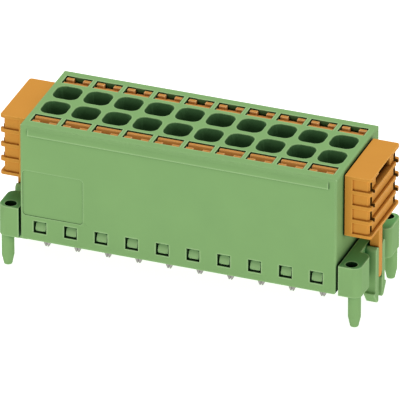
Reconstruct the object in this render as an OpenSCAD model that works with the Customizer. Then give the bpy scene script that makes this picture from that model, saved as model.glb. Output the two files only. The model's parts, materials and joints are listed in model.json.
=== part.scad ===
// Two-row push-in connector block that plugs straight into a circuit board, in millimetres.
// The origin is the centre of the board seating plane. X runs along the rows, Y from front to back, Z up.

/* [Poles] */
// Wire positions in each row
poles = 10; // [2:1:12]
// Distance between neighbouring positions
pitch = 3.5; // [3.4:0.1:5]
// Distance of each row of wire entries from the middle plane
row_offset = 1.8; // [1.7:0.01:2.1]

/* [Housing] */
// Depth of the housing, front to back
housing_depth = 13.3; // [13:0.1:16]
// Height of the housing above the board
housing_height = 13.9; // [13:0.1:18]
// Housing length beyond the outermost pitch at each end
end_margin = 0.5; // [0.3:0.1:2]
// Front and back wall outside the button slots
outer_wall = 1.15; // [0.8:0.05:1.4]
// Wall between neighbouring wire chambers
partition = 0.8; // [0.5:0.05:1.1]
// Web between the two rows of chambers
middle_web = 0.9; // [0.5:0.05:1]
// Height of the chamber roof above the board
chamber_roof = 8.6; // [8.2:0.1:9.6]
// Rounding of the upright and upper edges
edge_round = 0.25; // [0.1:0.02:0.4]
// Rounding of the lower corners in the front view
foot_round = 0.5; // [0.2:0.05:0.8]

/* [Housing faces] */
// Distance of the raised strips from the housing's ends
strip_inset = 0.9; // [0.5:0.1:1.5]
// Height of the raised strips
strip_h = 0.9; // [0.5:0.05:1.2]
// Drop of the raised strips below the rounded upper edge
strip_drop = 0.05; // [0.02:0.01:0.3]
// Reach of the raised strips beyond the face
strip_proud = 0.15; // [0.05:0.01:0.2]
// Height of the slope at the top of the raised strips
strip_slope = 0.3; // [0.1:0.05:0.4]
// Width of the bare marking panel on the front
panel_w = 6.9; // [5:0.05:8]
// Height of the marking panel
panel_h = 5.4; // [4:0.1:6]
// Depth of the marking panel
panel_depth = 0.06; // [0.04:0.01:0.1]
// Corner radius of the marking panel
panel_round = 0.4; // [0.2:0.05:0.6]
// Distance of the marking panel from the housing's left end
panel_inset = 0.28; // [0.26:0.02:1]
// Height of the marking panel's lower edge above the board
panel_z = 3; // [2.8:0.1:4]

/* [Wire entries] */
// Width of a wire entry at the top face
entry_size = 2.86; // [2.4:0.02:2.9]
// Corner radius of a wire entry
entry_corner = 0.9; // [0.8:0.05:1.1]
// Bevel around the rim of a wire entry
entry_rim = 0.07; // [0.05:0.01:0.15]
// Width of the throat below the funnel
throat_size = 2.2; // [1.8:0.1:2.4]
// Depth of the funnel
funnel_depth = 2.2; // [1:0.1:3]

/* [Release buttons] */
// Wall between neighbouring button slots
slot_wall = 0.5; // [0.4:0.05:0.8]
// Depth of a button slot, front to back
slot_depth = 1.68; // [1.6:0.02:2]
// Clearance around a button
button_clear = 0.1; // [0.05:0.01:0.15]
// Drop of the button's top below the top face
button_drop = 0.12; // [0.05:0.01:0.5]
// Travel of a button
button_travel = 1.2; // [0.6:0.1:1.6]
// Thickness of the bar on the inner side of the screwdriver slot
bar_t = 0.38; // [0.3:0.02:0.5]
// Width of the screwdriver slot
driver_w = 0.6; // [0.4:0.02:0.7]
// Depth of the screwdriver slot
driver_depth = 0.5; // [0.4:0.05:1.2]
// Width of the channel between the two outer posts
channel_w = 1.05; // [0.6:0.05:1.4]
// Clearance between the button's foot and its stop
stop_gap = 0.08; // [0.05:0.01:0.15]
// Gap between the button's foot and the wire path
foot_gap = 0.25; // [0.15:0.05:0.4]

/* [Base] */
// Thickness of the base inside the housing
base_t = 2.6; // [2.55:0.05:3]
// Clearance between the base and the housing
base_clear = 0.05; // [0.03:0.01:0.1]
// Width of the bridge that leaves the housing at each end
bridge_w = 5.6; // [4:0.1:7]
// Height of the bridge
bridge_h = 2.2; // [1.4:0.1:2.4]

/* [Latch windows] */
// Width of a latch window
window_w = 1.48; // [1.2:0.02:2]
// Height of a latch window
window_h = 1.42; // [1:0.02:1.6]
// Height of the window's lower edge above the board
window_z = 1.04; // [0.7:0.02:1.08]
// Gap around a latch nose
nose_gap = 0.13; // [0.1:0.01:0.25]
// Set-back of the nose from the outer face
nose_set = 0.22; // [0.05:0.01:0.3]
// Height of the upright catch at the nose's foot
catch_h = 0.36; // [0.2:0.02:0.5]
// Lean of the nose's face above its catch
nose_lean = 0.3; // [0.1:0.01:0.4]

/* [Flanges] */
// Gap between the housing's end and the flange
flange_gap = 0.2; // [0.15:0.05:0.8]
// Length of a flange along the row
flange_len = 2.45; // [2.1:0.05:3.1]
// Depth of a flange, front to back
flange_depth = 13.3; // [12.8:0.1:16]
// Height of the bosses above the board
boss_h = 3.6; // [3.4:0.05:4]
// Depth of a boss, front to back
boss_depth = 3.8; // [3.4:0.05:3.9]
// Rounding of the outer boss corners
boss_round = 0.9; // [0.8:0.05:1]
// Diameter of the core hole in a boss
core_d = 1.3; // [1:0.05:1.5]
// Depth of the core hole
core_depth = 2.4; // [1:0.1:3]
// Diameter of a locating pin
pin_d = 1.4; // [1:0.05:1.6]
// Length of a locating pin below the board plane
pin_len = 3.75; // [3.7:0.05:5]
// Diameter of the pin's end
pin_end_d = 0.9; // [0.6:0.05:1]
// Length of the pin's taper
pin_taper = 1.15; // [0.4:0.05:1.4]
// Set-back of the pin from the flange's outer face
pin_set_x = 0.17; // [0.05:0.01:0.3]
// Set-back of the pin from the flange's front or back face
pin_set_y = 0.2; // [0.1:0.05:0.6]

/* [Board anchors] */
// Thickness of the board that the anchor holds
board_t = 1.6; // [1:0.1:1.8]
// Clearance between the board and the hook
hook_clear = 0.3; // [0.1:0.05:0.4]
// Reach of a hook beyond its leg
hook_reach = 0.4; // [0.2:0.05:0.6]
// Height of the hook's upright edge
hook_edge = 0.22; // [0.1:0.02:0.4]
// Length of an anchor leg below the board plane
anchor_len = 3.27; // [3.2:0.01:3.6]
// Thickness of an anchor leg, front to back
leg_t = 0.85; // [0.7:0.05:1]
// Thickness of the web that carries the legs
web_t = 1.2; // [0.9:0.05:1.3]
// Drop of the leg's rounded top below the bosses
leg_drop = 0.2; // [0.05:0.05:0.6]

/* [Locking slides] */
// Gap between a slide and the housing's end
slide_gap = 0.12; // [0.1:0.01:0.25]
// Drop of the grip's top below the housing's top
grip_drop = 0.48; // [0.2:0.02:1]
// Height of the grip
grip_h = 7.22; // [7:0.02:7.6]
// Depth of the grip, front to back
grip_w = 8.96; // [7.6:0.02:11]
// Thickness of the grip at its waist
grip_t = 2.69; // [2.5:0.01:3.4]
// Rounding of the grip's outer corners in plan
grip_round = 0.35; // [0.2:0.05:0.6]
// Reach of the ribs beyond the waist, on the outer side
rib_reach = 0.33; // [0.2:0.01:0.6]
// Set-back of the waist from the grip's front and back faces
waist_set = 0.25; // [0.1:0.01:0.4]
// Number of ribs
rib_count = 4; // [2:1:4]
// Distance between ribs
rib_pitch = 1.73; // [1.5:0.01:1.75]
// Height of a rib
rib_h = 0.45; // [0.3:0.01:0.6]
// Distance from the grip's top to the first rib
first_rib = 1.67; // [1.4:0.01:1.8]
// Plain strip of the grip beside the housing
plain_strip = 0.85; // [0.4:0.05:1.2]
// Thickness of the lip around the grip's top
lip_t = 0.36; // [0.3:0.02:0.6]
// Width of the finger pocket under the lip
pocket_w = 4.4; // [3:0.1:5.6]
// Thickness of the lip above the finger pocket
pocket_lip = 0.14; // [0.12:0.01:0.25]
// Depth of the finger pocket below the waist
pocket_depth = 0.7; // [0.3:0.05:0.9]
// Distance of the upright grooves from the grip's front and back faces
groove_inset = 0.58; // [0.5:0.02:1]
// Width of the upright grooves
groove_w = 0.55; // [0.2:0.05:0.6]
// Depth of the upright grooves below the waist
groove_depth = 0.5; // [0.2:0.05:0.8]
// Thickness of the blade, front to back
blade_t = 1; // [0.7:0.05:1.2]
// Width of the blade along the row
blade_w = 1.05; // [0.9:0.05:1.15]
// Clearance on each side of the blade
blade_clear = 0.06; // [0.04:0.01:0.1]
// Reach of the blade's tip below the board plane
blade_tip = 0.5; // [0:0.05:0.6]
// Length of the blade's taper
blade_taper = 0.5; // [0.2:0.05:1]
// Thickness of the blade's tip
blade_end_t = 0.5; // [0.3:0.05:0.7]
// Clearance between the grip and the bosses when locked
lock_gap = 0.15; // [0.1:0.01:0.3]

/* [Slide rails] */
// Reach of the rail's neck from the housing's end
rail_neck = 0.45; // [0.35:0.05:0.6]
// Thickness of the rail's head
rail_head = 0.5; // [0.4:0.05:0.6]
// Width of the rail's neck
rail_neck_w = 1.6; // [1:0.1:2]
// Width of the rail's head
rail_head_w = 3; // [2.4:0.1:4]
// Length of the rail
rail_len = 3; // [2:0.1:3.2]
// Clearance between the rail and the slide
rail_clear = 0.08; // [0.05:0.01:0.1]
// Solid cap of the grip above the rail slot
cap_t = 0.8; // [0.6:0.05:1]

/* [Contacts] */
// Thickness of the contact strip
contact_t = 0.4; // [0.3:0.05:0.5]
// Width of the contact strip in its chamber
contact_w = 1.8; // [1.4:0.1:2]
// Height of the current bar above the base
bar_h = 4.6; // [3.8:0.1:5]
// Gap between the current bar and the middle web
bar_gap = 0.1; // [0.05:0.01:0.15]
// Distance of the forked tips from the middle plane
tip_offset = 4.35; // [4:0.05:4.6]
// Width of a forked tip
tip_w = 0.8; // [0.6:0.05:1]
// Reach of the tips below the board plane
tip_len = 1.6; // [1.3:0.1:2]
// Width of a tip at its slim waist
tip_waist_w = 0.64; // [0.5:0.02:0.7]
// Depth of the tip's waist below the board plane
tip_waist_z = 0.3; // [0.2:0.05:0.5]
// Depth of the tip's bulge below the board plane
tip_bulge_z = 0.8; // [0.6:0.05:0.9]
// Length of the tip's pointed end
tip_point = 0.4; // [0.2:0.02:0.5]
// Width of the tip where its pointed end starts
tip_point_w = 0.76; // [0.5:0.02:0.8]
// Width of the tip at its end
tip_end_w = 0.4; // [0.3:0.02:0.5]
// Width of the gap in the fork
fork_gap = 0.1; // [0.08:0.02:0.2]
// Clearance around a tip in the base
tip_clear = 0.1; // [0.05:0.01:0.2]

/* [Clamping springs] */
// Thickness of the spring strip
spring_t = 0.25; // [0.15:0.01:0.35]
// Width of the spring strip
spring_w = 2; // [1.4:0.1:2.2]
// Outer radius of the spring's bend
bend_r = 1.3; // [1:0.05:1.4]
// Slope of the clamping leg, in degrees
leg_slope = 16; // [8:1:20]
// Gap around the spring
spring_gap = 0.06; // [0.03:0.01:0.1]

/* [Hidden] */
$fn = 48;
// Overlap that keeps cuts and joins clean
over = 0.1;
green = "#86b06d";
orange = "#d8983f";
button_orange = "#c8783a";
tin = "#c6c8ca";
steel = "#aeb2b6";

// Housing
half_len = (poles * pitch) / 2 + end_margin;
half_depth = housing_depth / 2;
slot_w = pitch - slot_wall;
slot_out = half_depth - outer_wall;
chamber_w = pitch - partition;
chamber_in = middle_web / 2;
cavity_x = (poles * pitch - partition) / 2;

// Wire entries: the rounded corners keep their centres from the rim to the throat
corner_c = entry_size / 2 - entry_corner;
throat_r = throat_size / 2 - corner_c;
entry_len = housing_height - chamber_roof;

// Slides and their rails
grip_top = housing_height - grip_drop;
grip_bottom = grip_top - grip_h;
grip_in = half_len + slide_gap;
waist_x = grip_in + grip_t;
rib_x = waist_x + rib_reach;
slide_travel = grip_bottom - boss_h - lock_gap;
rail_top = grip_top - cap_t - slide_travel - lock_gap;
rail_bottom = rail_top - rail_len;

// Flanges, anchors and pins
flange_in = half_len + flange_gap;
flange_out = flange_in + flange_len;
half_flange = flange_depth / 2;
leg_in = blade_t / 2 + blade_clear;
leg_out = leg_in + leg_t;
leg_top = boss_h - leg_drop;
web_out = flange_in + web_t;
ledge_z = -(board_t + hook_clear);
pin_x = flange_out - pin_set_x - pin_d / 2;
pin_y = half_flange - pin_set_y - pin_d / 2;

// Blade: flush with the flange's outer face
blade_out = flange_out;
blade_in = blade_out - blade_w;

// Buttons, contacts and springs
button_top = housing_height - button_drop;
bar_y = chamber_in + bar_gap + contact_t;
spring_z = base_t + contact_t + spring_gap;
bend_y = slot_out - spring_gap - bend_r;
spring_top = spring_z + 2 * bend_r;
foot_in = row_offset + throat_size / 2 + foot_gap;
foot_bottom = spring_top + spring_gap;
wide_bottom = chamber_roof + button_travel + stop_gap;

ROWS = ["front", "back"];

// Middle of position i, counted from 1 at the left
function position_x(i) = (i - (poles + 1) / 2) * pitch;

// Top and bottom of rib k, counted from 0 at the upper end
function rib_top(k) = grip_top - first_rib - k * rib_pitch;
function rib_bottom(k) = max(rib_top(k) - rib_h, grip_bottom);

// One corner of a wire entry in section: radius against depth below the top face
function entry_section() = [
    [0, over],
    [entry_corner + entry_rim + over, over],
    [entry_corner, -entry_rim],
    [throat_r, -funnel_depth],
    [throat_r, -entry_len - over],
    [0, -entry_len - over]
];

// Turns what is drawn for the back row to a row and a position
module at_position(row, i) {
    translate([position_x(i), 0, 0])
        rotate([0, 0, row == "front" ? 180 : 0])
            children();
}

module at_every_position() {
    for (row = ROWS, i = [1:poles])
        at_position(row, i) children();
}

// Draws a thing of the right end at both ends
module at_both_ends() {
    children();
    mirror([1, 0, 0]) children();
}

// Rounded rectangle about the origin
module round_rect(w, d, r) {
    square([w - 2 * r, d], center = true);
    square([w, d - 2 * r], center = true);
    for (sx = [-1, 1], sy = [-1, 1])
        translate([sx * (w / 2 - r), sy * (d / 2 - r)]) circle(r);
}

// Upright rectangle that stands on the X axis, with round lower and upper corners of their own radii
module standing_rect(w, h, low_r, top_r) {
    translate([-w / 2, low_r]) square([w, h - low_r - top_r]);
    translate([-w / 2 + low_r, 0]) square([w - 2 * low_r, h / 2]);
    translate([-w / 2 + top_r, h / 2]) square([w - 2 * top_r, h / 2]);
    for (s = [-1, 1]) {
        translate([s * (w / 2 - low_r), low_r]) circle(low_r);
        translate([s * (w / 2 - top_r), h - top_r]) circle(top_r);
    }
}

// Extrudes an outline drawn in Y and Z along X, from x0 to x1
module along_x(x0, x1) {
    translate([x0, 0, 0]) rotate([90, 0, 90]) linear_extrude(x1 - x0) children();
}

// Extrudes an outline drawn in X and Z along Y, over a width about the middle plane
module along_y(width) {
    rotate([90, 0, 0]) linear_extrude(width, center = true) children();
}

// Box between two corners
module block(low, high) {
    translate(low) cube(high - low);
}

// Rounded-square funnel of a wire entry, from the rim to the chamber
module entry_cut() {
    section = entry_section();
    side = [for (p = section) if (p[0] > 0) p];
    both = concat(
        [for (p = side) [corner_c + p[0], p[1]]],
        [for (k = [len(side) - 1:-1:0]) [-corner_c - side[k][0], side[k][1]]]
    );
    translate([0, row_offset, housing_height]) {
        for (turn = [0, 90])
            rotate([0, 0, turn]) along_y(2 * corner_c) polygon(both);
        for (sx = [-1, 1], sy = [-1, 1])
            translate([sx * corner_c, sy * corner_c, 0]) rotate_extrude() polygon(section);
    }
}

// Everything that one position takes out of the housing
module position_cut() {
    entry_cut();
    block([-slot_w / 2, slot_out - slot_depth, chamber_roof - over],
          [slot_w / 2, slot_out, housing_height + over]);
    block([-chamber_w / 2, chamber_in, base_t],
          [chamber_w / 2, slot_out, chamber_roof]);
    block([-window_w / 2, slot_out - over, window_z],
          [window_w / 2, half_depth + over, window_z + window_h]);
}

// T-shaped rail on the housing's right end, which carries a slide
module rail() {
    block([half_len - over, -rail_neck_w / 2, rail_bottom],
          [half_len + rail_neck + over, rail_neck_w / 2, rail_top]);
    block([half_len + rail_neck, -rail_head_w / 2, rail_bottom],
          [half_len + rail_neck + rail_head, rail_head_w / 2, rail_top]);
}

module housing_block() {
    intersection() {
        linear_extrude(housing_height) round_rect(2 * half_len, housing_depth, edge_round);
        along_y(housing_depth + 2 * over)
            standing_rect(2 * half_len, housing_height, foot_round, edge_round);
        along_x(-half_len - over, half_len + over)
            standing_rect(housing_depth, housing_height, edge_round, edge_round);
    }
}

// Raised strip under the top edge, at the back
module face_strip() {
    top = housing_height - edge_round - strip_drop;
    along_x(-half_len + strip_inset, half_len - strip_inset)
        polygon([
            [half_depth - over, top],
            [half_depth, top],
            [half_depth + strip_proud, top - strip_slope],
            [half_depth + strip_proud, top - strip_h],
            [half_depth - over, top - strip_h]
        ]);
}

// Shallow bare panel at the left of the front face
module marking_panel() {
    translate([panel_inset + panel_w / 2 - half_len, -half_depth, panel_z + panel_h / 2])
        along_y(2 * panel_depth) round_rect(panel_w, panel_h, panel_round);
}

module housing() {
    color(green) {
        difference() {
            union() {
                housing_block();
                face_strip();
                mirror([0, 1, 0]) face_strip();
            }
            marking_panel();
            at_every_position() position_cut();
            block([-cavity_x, -slot_out, -over], [cavity_x, slot_out, base_t + base_clear]);
            block([-half_len - over, -bridge_w / 2 - base_clear, -over],
                  [half_len + over, bridge_w / 2 + base_clear, bridge_h + base_clear]);
        }
        at_both_ends() rail();
    }
}

// Latch nose: thin at the top, with its catch at the window's lower edge
module latch_nose() {
    root = slot_out - base_clear - over;
    low = window_z + nose_gap;
    high = window_z + window_h - nose_gap;
    half = window_w / 2 - nose_gap;
    along_x(-half, half)
        polygon([
            [root, low],
            [half_depth - nose_set, low],
            [half_depth - nose_set, low + catch_h],
            [half_depth - nose_set - nose_lean, high],
            [root, high]
        ]);
}

// Boss of the right flange in plan, at the back
module boss_plan() {
    y0 = half_flange - boss_depth;
    translate([flange_in, y0]) square([flange_len - boss_round, boss_depth]);
    translate([flange_in, y0 + boss_round]) square([flange_len, boss_depth - 2 * boss_round]);
    for (y = [y0 + boss_round, half_flange - boss_round])
        translate([flange_out - boss_round, y]) circle(boss_round);
}

// Anchor leg in Y and Z, at the back: round top, and a hook that catches under the board
module leg_outline() {
    polygon([
        [leg_in, leg_top - leg_t / 2],
        [leg_in, -anchor_len],
        [leg_out - leg_t / 2, -anchor_len],
        [leg_out + hook_reach, ledge_z - hook_edge],
        [leg_out + hook_reach, ledge_z],
        [leg_out, ledge_z],
        [leg_out, leg_top - leg_t / 2]
    ]);
    translate([leg_in + leg_t / 2, leg_top - leg_t / 2]) circle(leg_t / 2);
}

module locating_pin() {
    translate([pin_x, pin_y, 0]) {
        translate([0, 0, pin_taper - pin_len]) cylinder(d = pin_d, h = pin_len - pin_taper + over);
        translate([0, 0, -pin_len]) cylinder(d1 = pin_end_d, d2 = pin_d, h = pin_taper);
    }
}

// Flange at the right end: web, two bosses, two pins and the split anchor
module flange() {
    difference() {
        union() {
            block([flange_in, -half_flange + boss_round, 0], [web_out, half_flange - boss_round, boss_h]);
            block([cavity_x - over, -bridge_w / 2, 0], [flange_in + over, bridge_w / 2, bridge_h]);
            for (side = [0, 1]) mirror([0, side, 0]) {
                linear_extrude(boss_h) boss_plan();
                along_x(web_out, flange_out) leg_outline();
                locating_pin();
            }
        }
        for (side = [0, 1]) mirror([0, side, 0])
            translate([(flange_in + flange_out) / 2, pin_y, boss_h - core_depth])
                cylinder(d = core_d, h = core_depth + over);
    }
}

module base() {
    color(green) {
        difference() {
            union() {
                block([-cavity_x + base_clear, -slot_out + base_clear, 0],
                      [cavity_x - base_clear, slot_out - base_clear, base_t]);
                at_every_position() latch_nose();
            }
            at_every_position()
                block([-tip_w / 2 - tip_clear, tip_offset - contact_t / 2 - tip_clear, -over],
                      [tip_w / 2 + tip_clear, tip_offset + contact_t / 2 + tip_clear, base_t + over]);
        }
        at_both_ends() flange();
    }
}

// Slab of the right slide's grip between two heights, out to a given face, with round outer corners
module grip_slab(low, high, outer, width) {
    across = width - 2 * grip_round;
    translate([0, 0, low])
        linear_extrude(high - low) {
            translate([grip_in, -width / 2]) square([outer - grip_round - grip_in, width]);
            translate([grip_in, -across / 2]) square([outer - grip_in, across]);
            for (s = [-1, 1])
                translate([outer - grip_round, s * across / 2]) circle(grip_round);
        }
}

// Grip: waist, lip, ribs that wrap around it, and a plain strip beside the housing
module grip() {
    grip_slab(grip_bottom, grip_top, waist_x, grip_w - 2 * waist_set);
    grip_slab(grip_top - lip_t, grip_top, rib_x, grip_w);
    for (k = [0:rib_count - 1])
        grip_slab(rib_bottom(k), rib_top(k), rib_x, grip_w);
    block([grip_in, -grip_w / 2, grip_bottom], [grip_in + plain_strip, grip_w / 2, grip_top]);
}

// Upright grooves near the front and back faces, from the lip to the lowest rib, and the finger pocket
module grip_cuts() {
    for (side = [0, 1]) mirror([0, side, 0])
        block([waist_x - groove_depth, grip_w / 2 - groove_inset - groove_w, rib_top(rib_count - 1)],
              [rib_x + over, grip_w / 2 - groove_inset, grip_top - lip_t]);
    block([waist_x - pocket_depth, -pocket_w / 2, rib_top(0)],
          [rib_x + over, pocket_w / 2, grip_top - pocket_lip]);
}

// Blade that stands between the anchor legs, with a tapered tip
module blade() {
    half = blade_t / 2;
    half_end = blade_end_t / 2;
    along_x(blade_in, blade_out)
        polygon([
            [-half, grip_bottom + over],
            [-half, blade_taper - blade_tip],
            [-half_end, -blade_tip],
            [half_end, -blade_tip],
            [half, blade_taper - blade_tip],
            [half, grip_bottom + over]
        ]);
}

// Room in the slide for the rail over the whole travel
module rail_slot() {
    block([grip_in - over, -rail_neck_w / 2 - rail_clear, rail_bottom - rail_clear],
          [half_len + rail_neck + over, rail_neck_w / 2 + rail_clear, grip_top - cap_t]);
    block([half_len + rail_neck - rail_clear, -rail_head_w / 2 - rail_clear, rail_bottom - rail_clear],
          [half_len + rail_neck + rail_head + rail_clear, rail_head_w / 2 + rail_clear, grip_top - cap_t]);
}

module lock_slide() {
    color(orange)
        difference() {
            union() {
                grip();
                blade();
            }
            grip_cuts();
            rail_slot();
        }
}

// Release button: posts and a bar around the screwdriver slot, a stem, and a foot on the spring
module button() {
    inner = slot_out - slot_depth + button_clear;
    outer = slot_out - button_clear;
    half = slot_w / 2 - button_clear;
    stem_half = chamber_w / 2 - button_clear;
    slot_floor = button_top - driver_depth;
    color(button_orange)
        difference() {
            union() {
                block([-half, inner, wide_bottom], [half, outer, button_top]);
                block([-stem_half, inner, foot_bottom], [stem_half, outer, slot_floor]);
                block([-stem_half, foot_in, foot_bottom], [stem_half, outer, chamber_roof - stop_gap]);
            }
            block([-half - over, inner + bar_t, slot_floor],
                  [half + over, inner + bar_t + driver_w, button_top + over]);
            block([-channel_w / 2, inner + bar_t, slot_floor],
                  [channel_w / 2, outer + over, button_top + over]);
        }
}

// Forked tip of a contact in X and Z, with a slim waist and a pointed end
module tip_outline() {
    side = [
        [tip_w, base_t + over],
        [tip_w, 0],
        [tip_waist_w, -tip_waist_z],
        [tip_w, -tip_bulge_z],
        [tip_point_w, tip_point - tip_len],
        [tip_end_w, -tip_len]
    ];
    difference() {
        polygon(concat(
            [for (p = side) [p[0] / 2, p[1]]],
            [for (k = [len(side) - 1:-1:0]) [-side[k][0] / 2, side[k][1]]]
        ));
        translate([-fork_gap / 2, -tip_len - over]) square([fork_gap, tip_len + base_t / 2]);
    }
}

// Contact strip: current bar beside the middle web, a foot on the base and the forked tip
module contact() {
    half = contact_w / 2;
    block([-half, bar_y - contact_t, base_t], [half, bar_y, base_t + bar_h]);
    block([-half, bar_y - contact_t, base_t], [half, tip_offset + contact_t / 2, base_t + contact_t]);
    translate([0, tip_offset, 0]) along_y(contact_t) tip_outline();
}

module contacts(row) {
    color(tin)
        for (i = [1:poles]) at_position(row, i) contact();
}

// Spring strip in Y and Z: a leg on the contact, a bend, and a leg that presses the wire on the current bar
module spring_outline() {
    leg_reach = (bend_y - bar_y - 2 * spring_gap) / cos(leg_slope) - bend_r * tan(leg_slope);
    open_side = 3 * bend_r;
    translate([bend_y, spring_z + bend_r]) {
        difference() {
            circle(bend_r);
            circle(bend_r - spring_t);
            polygon([
                [0, 0],
                open_side * [-sin(leg_slope), cos(leg_slope)],
                [-open_side, 0],
                [0, -open_side]
            ]);
        }
        translate([bar_y + contact_t - bend_y, -bend_r]) square([bend_y - bar_y - contact_t, spring_t]);
        rotate(leg_slope) translate([-leg_reach, bend_r - spring_t]) square([leg_reach, spring_t]);
    }
}

module spring() {
    color(steel)
        along_x(-spring_w / 2, spring_w / 2) spring_outline();
}

housing();
base();
lock_slide();  // lock_right
mirror([1, 0, 0]) lock_slide();  // lock_left
contacts("front");  // contacts_front
contacts("back");  // contacts_back
for (row = ROWS, i = [1:poles]) {
    at_position(row, i) button();
    at_position(row, i) spring();
}
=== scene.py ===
"""Looks of a two-row push-in connector block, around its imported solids. Everything is in metres."""

import json
import math

import bmesh
import bpy
from mathutils import Matrix, Vector


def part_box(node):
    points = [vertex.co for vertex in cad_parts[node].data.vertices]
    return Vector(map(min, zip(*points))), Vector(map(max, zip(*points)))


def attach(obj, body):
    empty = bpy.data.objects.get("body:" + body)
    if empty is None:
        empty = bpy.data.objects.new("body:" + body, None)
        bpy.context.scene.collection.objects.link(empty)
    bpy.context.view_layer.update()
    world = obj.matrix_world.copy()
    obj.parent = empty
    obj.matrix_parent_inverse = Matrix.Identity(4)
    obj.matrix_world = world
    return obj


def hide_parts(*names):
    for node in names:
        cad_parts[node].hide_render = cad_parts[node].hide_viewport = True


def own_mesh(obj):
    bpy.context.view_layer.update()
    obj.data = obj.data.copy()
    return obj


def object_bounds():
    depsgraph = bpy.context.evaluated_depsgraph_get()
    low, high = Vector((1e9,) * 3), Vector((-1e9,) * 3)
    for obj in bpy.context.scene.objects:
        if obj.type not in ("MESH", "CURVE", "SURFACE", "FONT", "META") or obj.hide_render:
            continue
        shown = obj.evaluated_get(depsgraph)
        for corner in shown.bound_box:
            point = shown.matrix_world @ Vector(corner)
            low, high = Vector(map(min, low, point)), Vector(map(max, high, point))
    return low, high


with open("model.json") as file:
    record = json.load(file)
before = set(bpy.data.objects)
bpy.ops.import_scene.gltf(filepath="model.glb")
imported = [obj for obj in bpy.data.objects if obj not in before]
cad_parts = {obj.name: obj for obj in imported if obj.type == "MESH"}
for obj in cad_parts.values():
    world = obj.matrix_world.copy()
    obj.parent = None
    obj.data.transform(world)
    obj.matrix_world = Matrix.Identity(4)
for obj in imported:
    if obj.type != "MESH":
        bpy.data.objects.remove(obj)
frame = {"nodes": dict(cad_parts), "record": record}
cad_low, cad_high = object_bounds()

MM = 0.001
NODES = frame["nodes"]
BODY_OF = {node: body for body, nodes in frame["record"]["behaviour"]["bodies"].items() for node in nodes}

# Foot of a button's bar in the screwdriver slot, in millimetres: the band of its distance from the middle
# plane, the band of its height, and how far it slopes out
BAR_FOOT = 4.2, 4.4, 13.2, 13.4, 0.32

# Points nearer than this, in millimetres, are one point of a copied mesh
MERGE = 0.001
# Angles between faces: joined to one face below the first, smooth to the eye below the second, and broken
# above the third
FLAT_ANGLE, SMOOTH_ANGLE, BROKEN_ANGLE = (math.radians(d) for d in (1, 32, 40))

# Sizes from the frame in millimetres: height of the housing, distance of its front and back from the middle
# plane, which the bosses share, and a slide's outermost corner
HOUSING_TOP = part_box("housing")[1].z / MM
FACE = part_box("base")[1].y / MM
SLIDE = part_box("lock_right")[1] / MM
# Half of the housing's length, height of its foot, and a skin that is thicker than the panel is deep
HALF_LENGTH, FOOT, SKIN = 18.0, 0.5, 0.1
# Reach of a slide's ribs beyond its waist, outwards and to the front and back, and height of its grip's foot
RIB_OUT, RIB_SIDE, GRIP_FOOT = 0.33, 0.25, 6.2
# A distance in millimetres that is past the whole part
FAR = 30.0

# Boxes as low and high corners in millimetres, the same on both sides of the middle planes.
# Within the housing's outer faces, within its skin, and between the skins of its front and back
HOUSING_BOX = (-HALF_LENGTH, -FACE, FOOT), (HALF_LENGTH, FACE, HOUSING_TOP)
ENTRY_BOX = (SKIN - HALF_LENGTH, SKIN - FACE, FOOT), (HALF_LENGTH - SKIN, FACE - SKIN, HOUSING_TOP)
BETWEEN_FACES = (-FAR, SKIN - FACE, -FAR), (FAR, FACE - SKIN, FAR)
# Within a slide's waist, its upright grooves, and the core holes in the bosses
WAIST_BOX = ((RIB_OUT - SLIDE.x, RIB_SIDE - SLIDE.y, GRIP_FOOT),
             (SLIDE.x - RIB_OUT, SLIDE.y - RIB_SIDE, SLIDE.z))
GROOVE_BOX = (20.2, 3.325, 6.6), (22.0, 3.925, 13.07)
CORE_BOX = (18.755, 5.08, 1.1), (20.095, 6.42, 3.55)
# Heights in millimetres: the pins are below the first, and the bosses' flat tops above the second
PIN_TOP, BOSS_FLAT = -1.0, 3.58

# Depths in millimetres over which painted shade grows in hollows: entries and button slots, flange and
# windows, and a slide's pocket
ENTRY_FADE, BASE_FADE, POCKET_FADE = (0.02, 0.1), (0.3, 0.9), (0.05, 0.6)
# Least depth of a latch nose in its window, and reach of the painted shade on its rims and in narrow gaps
NOSE_DEPTH, RIM_REACH, CRACK_REACH = 0.1, 0.45, 0.35
# Rays that look for the open part of the sky around a point
RAYS = 8
# Open part of the sky, from where painted shade starts to where its tone is full: shade, deep shade, and
# deep shade of narrow gaps
NOOK_SHADE, NOOK_DEEP, CRACK_DEEP = (0.92, 0.55), (0.55, 0.2), (0.8, 0.5)
# Open part of the sky around a latch nose that counts as none of it, and that counts as all of it
RIM_OPEN = 0.4, 0.8
# Solid part around a point below the surface, from where the painted edge highlight starts to where it is
# fullest
SOLID_EDGE = 1.0, 0.5
# Most of the painted highlight on edges and on the latch noses, and of the painted deep shade in grooves and
# core holes
EDGE_HIGHLIGHT_PAINT, NOSE_LIGHT_PAINT, HOLE_DEEP = 0.7, 0.22, 0.9

# Green plastic: light and dark of its clouds, and the tone of its painted edge highlight
GREEN = "#80a66b", "#7a9f67", "#a9c894"
# Painted shade: the bosses' tops, which the slides cover, are painted a deeper green
BOSS_TOP_SHADE_GREEN = "#62985c"
# Sizes in millimetres of the plastic's clouds, of its grain as it is drawn, of the grain's height, and of
# the spots on metal
CLOUD, GRAIN, GRAIN_HEIGHT, SPOT = 4.0, 0.12, 0.02, 0.2
# Strength of the grain's bump, and how far the roughness of plastic and of metal varies over grain and spots
GRAIN_STRENGTH, PLASTIC_UNEVEN, METAL_UNEVEN = 0.2, 0.06, 0.08
# Refraction of polyamide, and a reflection that is kept low, because the part looks matt all over
PLASTIC_IOR, PLASTIC_SPECULAR = 1.53, 0.015


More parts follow.
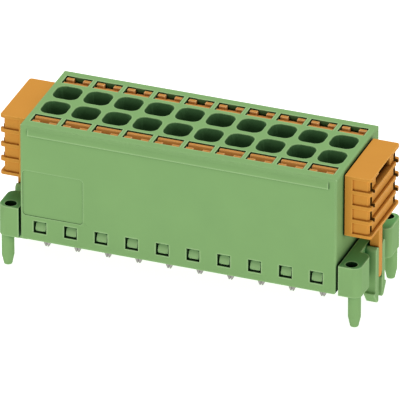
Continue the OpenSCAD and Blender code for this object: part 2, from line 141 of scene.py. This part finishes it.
def linear(hex_colour):
    """sRGB hex to the linear RGBA that Blender's sockets take."""
    shares = [int(hex_colour[k:k + 2], 16) / 255 for k in (1, 3, 5)]
    return [s / 12.92 if s <= 0.04045 else ((s + 0.055) / 1.055) ** 2.4 for s in shares] + [1.0]


def add(tree, kind, settings, out=0):
    """Adds a node and gives one of its outputs, if it has any. A setting that is another node's output is
    linked, and any other goes to a socket or a property."""
    made = tree.nodes.new(kind)
    for name, value in settings.items():
        if isinstance(value, bpy.types.NodeSocket):
            tree.links.new(value, made.inputs[name])
        elif isinstance(name, int) or name in made.inputs:
            made.inputs[name].default_value = value
        else:
            setattr(made, name, value)
    return made.outputs[out] if made.outputs else None


def start_finish(name):
    """An empty material, its node tree and the place of a point on the part."""
    made = bpy.data.materials.new(name)
    made.use_nodes = True
    made.node_tree.nodes.clear()
    return made, made.node_tree, add(made.node_tree, "ShaderNodeTexCoord", {}, "Object")


def depth_in(tree, place, box):
    """Depth of a point below the nearest face of a box, which is under zero outside it."""
    low, high = (Vector(corner) * MM for corner in box)
    flipped = add(tree, "ShaderNodeVectorMath", {"operation": "MULTIPLY", 0: place, 1: (-1, -1, 1)})
    folded = add(tree, "ShaderNodeVectorMath", {"operation": "MAXIMUM", 0: place, 1: flipped})
    off = add(tree, "ShaderNodeVectorMath", {"operation": "SUBTRACT", 0: folded, 1: (low + high) / 2})
    off = add(tree, "ShaderNodeVectorMath", {"operation": "ABSOLUTE", 0: off})
    depth = add(tree, "ShaderNodeVectorMath", {"operation": "SUBTRACT", 0: (high - low) / 2, 1: off})
    axes = add(tree, "ShaderNodeSeparateXYZ", {0: depth}).node.outputs
    least = add(tree, "ShaderNodeMath", {"operation": "MINIMUM", 0: axes["X"], 1: axes["Y"]})
    return add(tree, "ShaderNodeMath", {"operation": "MINIMUM", 0: least, 1: axes["Z"]})


def painted_shade_in_well(tree, place, box, fade):
    """Share of painted shade in a hollow, which grows over the fade's depths below the faces of a box."""
    first, full = (depth * MM for depth in fade)
    depth = depth_in(tree, place, box)
    return add(tree, "ShaderNodeMapRange", {"From Min": first, "From Max": full, "Value": depth})


def painted_shade_in_hole(tree, place, box):
    """Share of the painted deep shade inside a box."""
    depth = depth_in(tree, place, box)
    inside = add(tree, "ShaderNodeMath", {"operation": "GREATER_THAN", 0: depth, 1: 0.0})
    return add(tree, "ShaderNodeMath", {"operation": "MULTIPLY", 0: inside, 1: HOLE_DEEP})


def painted_nook_shade(tree, nook):
    """Shares of painted shade and painted deep shade in a nook, from the open part of the sky around it."""
    return [add(tree, "ShaderNodeMapRange", {"From Min": first, "From Max": full, "Value": nook})
            for first, full in (NOOK_SHADE, NOOK_DEEP)]


def housing_hollows(tree, place, colour, nook):
    """Painted shade: entries and button slots are painted dark from their rims down, and so are the narrow
    gaps beside slides and buttons, but not the rim of the shallow panel in the front."""
    painted_shade, painted_deep_shade = painted_nook_shade(tree, nook)
    # Painted shade in the entries and button slots, from their rims down
    well_shade = painted_shade_in_well(tree, place, ENTRY_BOX, ENTRY_FADE)
    painted_shade = add(tree, "ShaderNodeMath", {"operation": "MAXIMUM", 0: painted_shade, 1: well_shade})
    # Painted deep shade in the narrow gaps beside slides and buttons
    crack_shade = add(tree, "ShaderNodeAmbientOcclusion", {"samples": RAYS, "Distance": CRACK_REACH * MM}, "AO")
    first, full = CRACK_DEEP
    crack_shade = add(tree, "ShaderNodeMapRange", {"From Min": first, "From Max": full, "Value": crack_shade})
    depth = depth_in(tree, place, BETWEEN_FACES)
    inner = add(tree, "ShaderNodeMath", {"operation": "GREATER_THAN", 0: depth, 1: 0.0})
    crack_shade = add(tree, "ShaderNodeMath", {"operation": "MULTIPLY", 0: inner, 1: crack_shade})
    painted_deep_shade = add(tree, "ShaderNodeMath", {"operation": "MAXIMUM", 0: painted_deep_shade, 1: crack_shade})
    return colour, painted_shade, painted_deep_shade


def base_hollows(tree, place, colour, nook):
    """The latch noses nearly fill their windows: painted shade falls only on their rims, and the noses are
    painted paler as painted light. Pins get no painted shade from the floor, the bosses' flat tops are
    painted a deeper green as painted shade, and core holes get painted deep shade."""
    # Painted shade on the rims of the latch noses only
    rims = add(tree, "ShaderNodeAmbientOcclusion", {"samples": RAYS, "Distance": RIM_REACH * MM}, "AO")
    none, full = RIM_OPEN
    rims = add(tree, "ShaderNodeMapRange", {"From Min": none, "From Max": full, "Value": rims})
    depth = depth_in(tree, place, HOUSING_BOX)
    nose = add(tree, "ShaderNodeMath", {"operation": "GREATER_THAN", 0: depth, 1: NOSE_DEPTH * MM})
    nook = add(tree, "ShaderNodeMix", {"data_type": "FLOAT", 0: nose, 2: nook, 3: rims})
    height = add(tree, "ShaderNodeSeparateXYZ", {0: place}, "Z")
    pin = add(tree, "ShaderNodeMath", {"operation": "LESS_THAN", 0: height, 1: PIN_TOP * MM})
    flat = add(tree, "ShaderNodeMath", {"operation": "GREATER_THAN", 0: height, 1: BOSS_FLAT * MM})
    for open_place in (pin, flat):
        nook = add(tree, "ShaderNodeMath", {"operation": "MAXIMUM", 0: nook, 1: open_place})
    # Painted shade: the bosses' flat tops are painted a deeper green
    colour = add(tree, "ShaderNodeMix", {"data_type": "RGBA", 0: flat, 6: colour, 7: linear(BOSS_TOP_SHADE_GREEN)}, 2)
    # Painted light: the latch noses are painted paler
    painted_nose_light = add(tree, "ShaderNodeMath", {"operation": "MULTIPLY", 0: nose, 1: NOSE_LIGHT_PAINT})
    colour = add(tree, "ShaderNodeMix", {"data_type": "RGBA", 0: painted_nose_light, 6: colour, 7: linear(GREEN[2])}, 2)
    painted_shade, painted_deep_shade = painted_nook_shade(tree, nook)
    # Painted shade in the flange and the windows, deeper inside the housing
    well_shade = painted_shade_in_well(tree, place, HOUSING_BOX, BASE_FADE)
    painted_shade = add(tree, "ShaderNodeMath", {"operation": "MAXIMUM", 0: painted_shade, 1: well_shade})
    # Painted deep shade in the core holes
    core_shade = painted_shade_in_hole(tree, place, CORE_BOX)
    painted_deep_shade = add(tree, "ShaderNodeMath", {"operation": "MAXIMUM", 0: painted_deep_shade, 1: core_shade})
    return colour, painted_shade, painted_deep_shade


def slide_hollows(tree, place, colour, nook):
    """The finger pocket and the upright grooves of a slide are painted dark, as painted shade."""
    painted_shade, painted_deep_shade = painted_nook_shade(tree, nook)
    # Painted shade in the finger pocket
    well_shade = painted_shade_in_well(tree, place, WAIST_BOX, POCKET_FADE)
    painted_shade = add(tree, "ShaderNodeMath", {"operation": "MAXIMUM", 0: painted_shade, 1: well_shade})
    # Painted deep shade in the upright grooves and the pocket
    for dark in (painted_shade_in_hole(tree, place, GROOVE_BOX), well_shade):
        painted_deep_shade = add(tree, "ShaderNodeMath", {"operation": "MAXIMUM", 0: painted_deep_shade, 1: dark})
    return colour, painted_shade, painted_deep_shade


def moulded(name, tones, roughness, highlight_reach, reach, hollows=None):
    """Injection-moulded polyamide: the fine matt grain of the eroded mould, with clouds of slightly deeper
    colour where the melt ran slower. Edges are painted paler, a painted highlight, as far in as the
    highlight's reach. Nooks within the reach are painted with a shade and then a deep tone, as painted shade.
    The grain is 0.02 mm on the real part and is drawn coarser, so that it shows."""
    light, dark, edge, shade, deep = (linear(tone) for tone in tones)
    made, tree, place = start_finish(name)
    cloud = add(tree, "ShaderNodeTexNoise", {"Scale": 1 / (CLOUD * MM), "Detail": 3.0, "Vector": place})
    speck = add(tree, "ShaderNodeTexNoise", {"Scale": 1 / (GRAIN * MM), "Detail": 2.0, "Vector": place})
    # Painted highlight: edges are painted paler where little solid lies around them
    solid = add(tree, "ShaderNodeAmbientOcclusion",
                {"samples": RAYS, "inside": True, "only_local": True, "Distance": highlight_reach * MM}, "AO")
    # Painted shade: nooks are painted darker where the sky around them is closed in
    nook = add(tree, "ShaderNodeAmbientOcclusion", {"samples": RAYS, "Distance": reach * MM}, "AO")
    colour = add(tree, "ShaderNodeMix", {"data_type": "RGBA", 0: cloud, 6: dark, 7: light}, 2)
    if hollows:
        colour, painted_shade, painted_deep_shade = hollows(tree, place, colour, nook)
    else:
        painted_shade, painted_deep_shade = painted_nook_shade(tree, nook)
    first, full = SOLID_EDGE
    painted_edge_highlight = add(tree, "ShaderNodeMapRange",
               {"From Min": first, "From Max": full, "To Max": EDGE_HIGHLIGHT_PAINT, "Value": solid})
    # Painted highlight on edges, then painted shade and painted deep shade
    for share, tone in ((painted_edge_highlight, edge), (painted_shade, shade), (painted_deep_shade, deep)):
        colour = add(tree, "ShaderNodeMix", {"data_type": "RGBA", 0: share, 6: colour, 7: tone}, 2)
    rough = add(tree, "ShaderNodeMapRange",
                {"To Min": roughness - PLASTIC_UNEVEN, "To Max": roughness + PLASTIC_UNEVEN, "Value": speck})
    bump = add(tree, "ShaderNodeBump",
               {"Strength": GRAIN_STRENGTH, "Distance": GRAIN_HEIGHT * MM, "Height": speck})
    shader = add(tree, "ShaderNodeBsdfPrincipled",
                 {"IOR": PLASTIC_IOR, "Specular IOR Level": PLASTIC_SPECULAR, "Base Color": colour,
                  "Roughness": rough, "Normal": bump})
    add(tree, "ShaderNodeOutputMaterial", {"Surface": shader})
    return made


def metal(name, light, dark, roughness):
    """Rolled strip, bare or plated: a bright reflection that is broken by fine, slightly duller spots."""
    made, tree, place = start_finish(name)
    spots = add(tree, "ShaderNodeTexNoise", {"Scale": 1 / (SPOT * MM), "Detail": 3.0, "Vector": place})
    colour = add(tree, "ShaderNodeMix",
                 {"data_type": "RGBA", 0: spots, 6: linear(dark), 7: linear(light)}, 2)
    rough = add(tree, "ShaderNodeMapRange",
                {"To Min": roughness - METAL_UNEVEN, "To Max": roughness + METAL_UNEVEN, "Value": spots})
    shader = add(tree, "ShaderNodeBsdfPrincipled",
                 {"Metallic": 1.0, "Base Color": colour, "Roughness": rough})
    add(tree, "ShaderNodeOutputMaterial", {"Surface": shader})
    return made


def broken_edges(node, width, finish):
    """A piece in a node's place, with clean faces and with edges broken as a mould or a punch leaves them."""
    piece = bpy.data.objects.new(node + "_finished", NODES[node].data.copy())
    bpy.context.scene.collection.objects.link(piece)
    bpy.ops.object.select_all(action="DESELECT")
    piece.select_set(True)
    bpy.context.view_layer.objects.active = piece
    bpy.ops.object.mode_set(mode="EDIT")
    bpy.ops.mesh.select_all(action="SELECT")
    bpy.ops.mesh.remove_doubles(threshold=MERGE * MM)
    bpy.ops.mesh.dissolve_limited(angle_limit=FLAT_ANGLE)
    bpy.ops.mesh.select_mode(type="EDGE")
    bpy.ops.mesh.select_all(action="DESELECT")
    shape = bmesh.from_edit_mesh(piece.data)
    if node.startswith("button"):
        near, far, low, high, slope = (size * MM for size in BAR_FOOT)
        for vert in shape.verts:
            if near < abs(vert.co.y) < far and low < vert.co.z < high:
                vert.co.y += math.copysign(slope, vert.co.y)
        bmesh.update_edit_mesh(piece.data)
    for edge in shape.edges:
        edge.select_set(edge.is_manifold and edge.is_convex and edge.calc_face_angle() > BROKEN_ANGLE)
    bmesh.update_edit_mesh(piece.data)
    bpy.ops.mesh.bevel(offset=width * MM, segments=2, affect="EDGES", clamp_overlap=True)
    bpy.ops.object.mode_set(mode="OBJECT")
    bpy.ops.object.shade_smooth_by_angle(angle=SMOOTH_ANGLE)
    piece.modifiers.new("flat_faces_stay_flat", "WEIGHTED_NORMAL").keep_sharp = True
    bpy.ops.object.modifier_apply(modifier="flat_faces_stay_flat")
    piece.data.materials.clear()
    piece.data.materials.append(finish)
    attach(piece, BODY_OF[node])
    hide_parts(node)
    return piece


def soft_box(name, place, width, height, power):
    """Rectangular area light that looks at the part."""
    data = bpy.data.lights.new(name, "AREA")
    data.shape = "RECTANGLE"
    data.size = width
    data.size_y = height
    data.energy = power
    lamp = bpy.data.objects.new(name, data)
    bpy.context.scene.collection.objects.link(lamp)
    lamp.location = place
    lamp.rotation_euler = (-Vector(place)).to_track_quat("-Z", "Y").to_euler()


# Camera at the photograph's angle
AZIMUTH, ELEVATION, ROLL = (math.radians(d) for d in (20.51, 28.42, 0.052))
CAMERA_PLACE = Vector((398.91, -1066.17, 620.78)) * MM
right = Vector((math.cos(AZIMUTH), math.sin(AZIMUTH), 0))
back = Vector((math.sin(AZIMUTH) * math.cos(ELEVATION), -math.cos(AZIMUTH) * math.cos(ELEVATION),
               math.sin(ELEVATION)))
up = back.cross(right)
turn = Matrix((right, up, back)).transposed().to_4x4() @ Matrix.Rotation(ROLL, 4, "Z")
camera_data = bpy.data.cameras.new("studio_camera")
camera_data.sensor_width = 36.0
camera_data.lens = 1088.3
camera_data.clip_start = 0.05
camera_data.clip_end = 10.0
camera = bpy.data.objects.new("studio_camera", camera_data)
bpy.context.scene.collection.objects.link(camera)
camera.matrix_world = Matrix.Translation(CAMERA_PLACE) @ turn
bpy.context.scene.camera = camera

# Finishes: tones as light and dark of the clouds, painted edge highlight, painted shade and painted deep
# shade, then the roughness, and in millimetres the reach of the painted highlight and of the painted shade
green_housing = moulded("green_polyamide_moulded", (*GREEN, "#42663e", "#102612"),
                        0.5, 0.2, 0.8, housing_hollows)
green_base = moulded("green_polyamide_moulded_base", (*GREEN, "#2a6a36", "#061206"),
                     0.5, 0.2, 1.4, base_hollows)
orange_slide = moulded("orange_polyamide_moulded", ("#cc8f3e", "#c3873a", "#e2a954", "#a8631c", "#1c0a02"),
                       0.45, 0.12, 0.25, slide_hollows)
orange_button = moulded("deep_orange_polyamide_moulded",
                        ("#bf843f", "#b47a39", "#efcb98", "#a86f2e", "#4a260c"), 0.45, 0.16, 0.3)
tinned = metal("tinned_copper_strip", "#a5a29e", "#8e8b87", 0.35)
steel = metal("rolled_spring_steel", "#b8bcc0", "#9ea2a6", 0.3)
# Width of the broken edges in millimetres, and the finish
FINISH = {"housing": (0.04, green_housing), "base": (0.05, green_base), "lock": (0.04, orange_slide),
          "button": (0.05, orange_button), "contacts": (0.02, tinned), "spring": (0.03, steel)}
for node in NODES:
    piece = broken_edges(node, *FINISH[node.split("_")[0]])
    if node.startswith("spring"):
        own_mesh(piece)

# Pale floor and soft studio light
bpy.ops.object.select_all(action="DESELECT")
bpy.ops.mesh.primitive_plane_add(size=6.0, location=(0, 0, cad_low.z))
floor = bpy.context.object
floor.name = "floor"
paper = bpy.data.materials.new("matt_white_paper")
paper.use_nodes = True
paper_sockets = paper.node_tree.nodes["Principled BSDF"].inputs
paper_sockets["Base Color"].default_value = linear("#c4c4c2")
paper_sockets["Roughness"].default_value = 0.9
paper_sockets["Emission Color"].default_value = (1, 1, 1, 1)
paper_sockets["Emission Strength"].default_value = 0.86
floor.data.materials.append(paper)
soft_box("top_light", (-0.15, 0.35, 1.0), 0.7, 0.7, 9.5)
soft_box("front_light", (-0.05, -1.1, 0.25), 0.9, 0.3, 2.95)
soft_box("side_light", (1.1, -0.2, 0.3), 0.9, 0.4, 2.1)
world = bpy.data.worlds.new("studio")
bpy.context.scene.world = world
world.use_nodes = True
world.node_tree.nodes["Background"].inputs["Color"].default_value = (1, 1, 1, 1)
world.node_tree.nodes["Background"].inputs["Strength"].default_value = 0.4
bpy.context.scene.view_settings.view_transform = "Standard"
